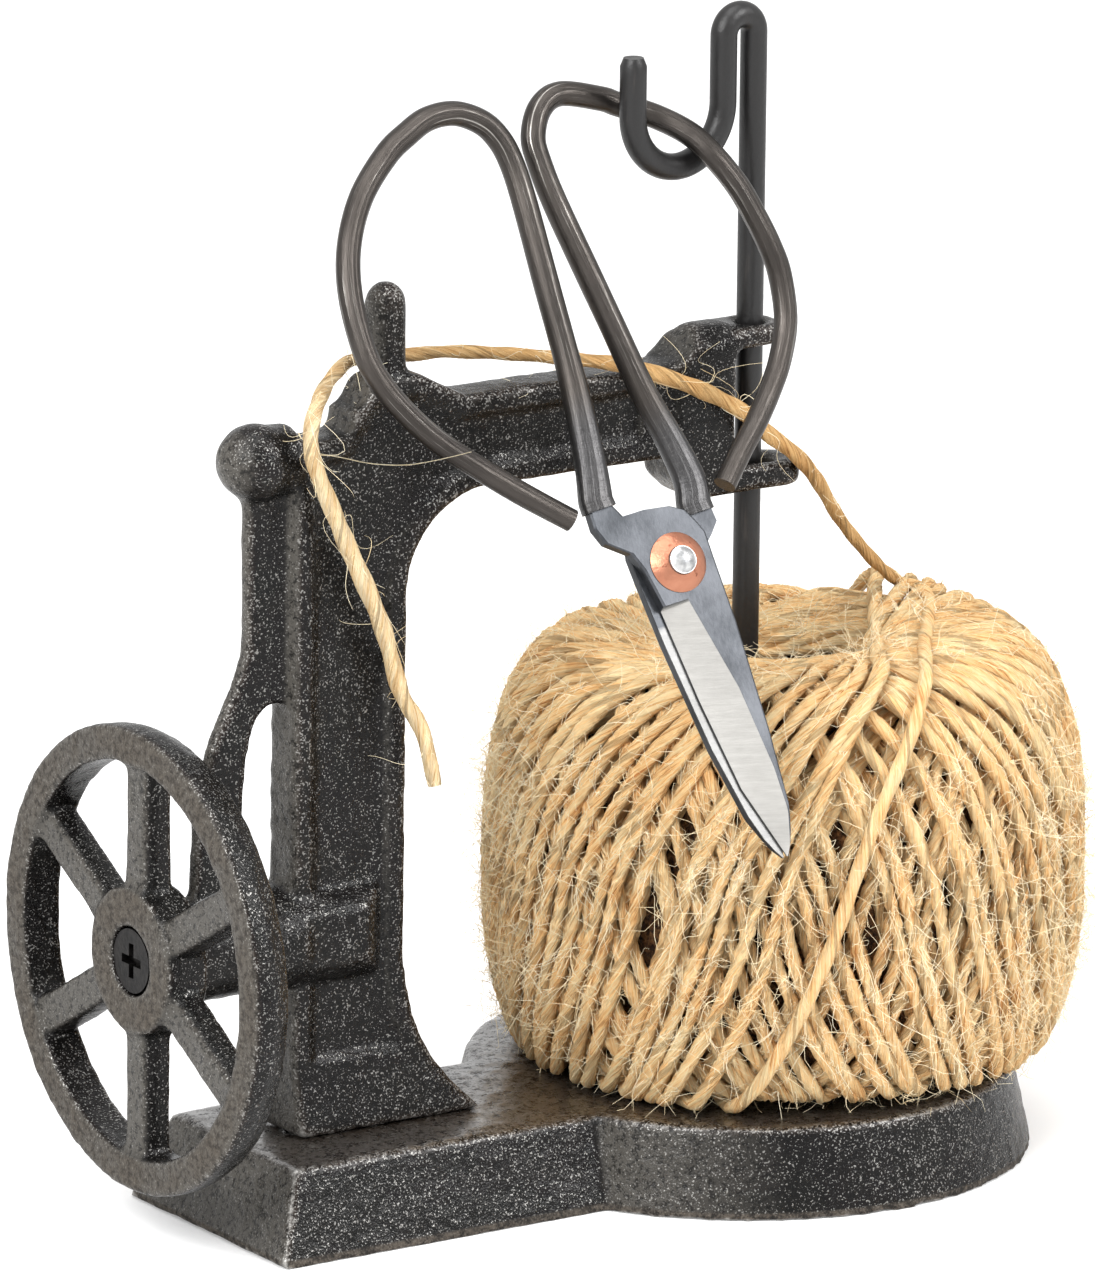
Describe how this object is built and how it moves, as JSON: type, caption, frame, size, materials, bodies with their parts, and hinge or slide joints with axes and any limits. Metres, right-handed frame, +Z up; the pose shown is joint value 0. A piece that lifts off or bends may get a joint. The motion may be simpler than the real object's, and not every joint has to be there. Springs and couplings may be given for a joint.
{
  "type": "string holder",
  "caption": "Cast-iron string holder shaped like a small sewing machine, with a hand wheel, a lift-out hook rod through a ball of jute twine, and garden scissors hung on the hook.",
  "frame": {"origin": "on the rod's axis, on the underside of the base", "axes": "+Z up along the rod; +X from the hand wheel to the round end of the base; the scissors hang on the -Y side"},
  "size_m": [0.1601, 0.0945, 0.1747],
  "materials": {
    "cast_iron": "coarse cast surface under dark satin paint",
    "screw_steel": "plain zinc",
    "black_screw": "black oxide",
    "rod_paint": "satin black paint",
    "jute_core": "packed jute",
    "jute": "twisted jute",
    "blade_steel": "ground",
    "forged_steel": "forged, dark scale",
    "rivet_steel": "polished",
    "copper": "copper, slightly tarnished"
  },
  "bodies": {
    "frame": {"base_casting": "cast_iron", "arm_casting": "cast_iron", "foot_screws": "screw_steel", "wheel_screw": "black_screw", "twine_tail": "jute"},
    "wheel": {"hand_wheel": "cast_iron"},
    "rod": {"hook_rod": "rod_paint"},
    "ball": {"twine_core": "jute_core", "twine_winding": "jute"},
    "scissors_back": {"back_blade": "blade_steel", "back_handle": "forged_steel", "pivot_rivet": "rivet_steel", "front_washer": "copper", "back_washer": "copper"},
    "scissors_front": {"front_blade": "blade_steel", "front_handle": "forged_steel"}
  },
  "joints": [
    {"name": "wheel_spin", "type": "hinge", "parent": "frame", "child": "wheel", "pos_m": [-0.1045, 0, 0.0435], "axis": [1, 0, 0], "continuous": true},
    {"name": "rod_lift", "type": "slide", "parent": "frame", "child": "rod", "axis": [0, 0, 1], "range_m": [0, 0.076]},
    {"name": "ball_spin", "type": "hinge", "parent": "frame", "child": "ball", "pos_m": [0.0075, 0, 0.045], "axis": [0, 0, 1], "continuous": true},
    {"name": "scissors_swing", "type": "hinge", "parent": "rod", "child": "scissors_back", "pos_m": [-0.01247, -0.00201, 0.1549], "axis": [-0.9945, 0.1045, 0], "range_deg": [0, 40]},
    {"name": "scissors_open", "type": "hinge", "parent": "scissors_back", "child": "scissors_front", "pos_m": [-0.03195, -0.02744, 0.09888], "axis": [-0.094, -0.8939, 0.4384], "range_deg": [0, 40]}
  ]
}
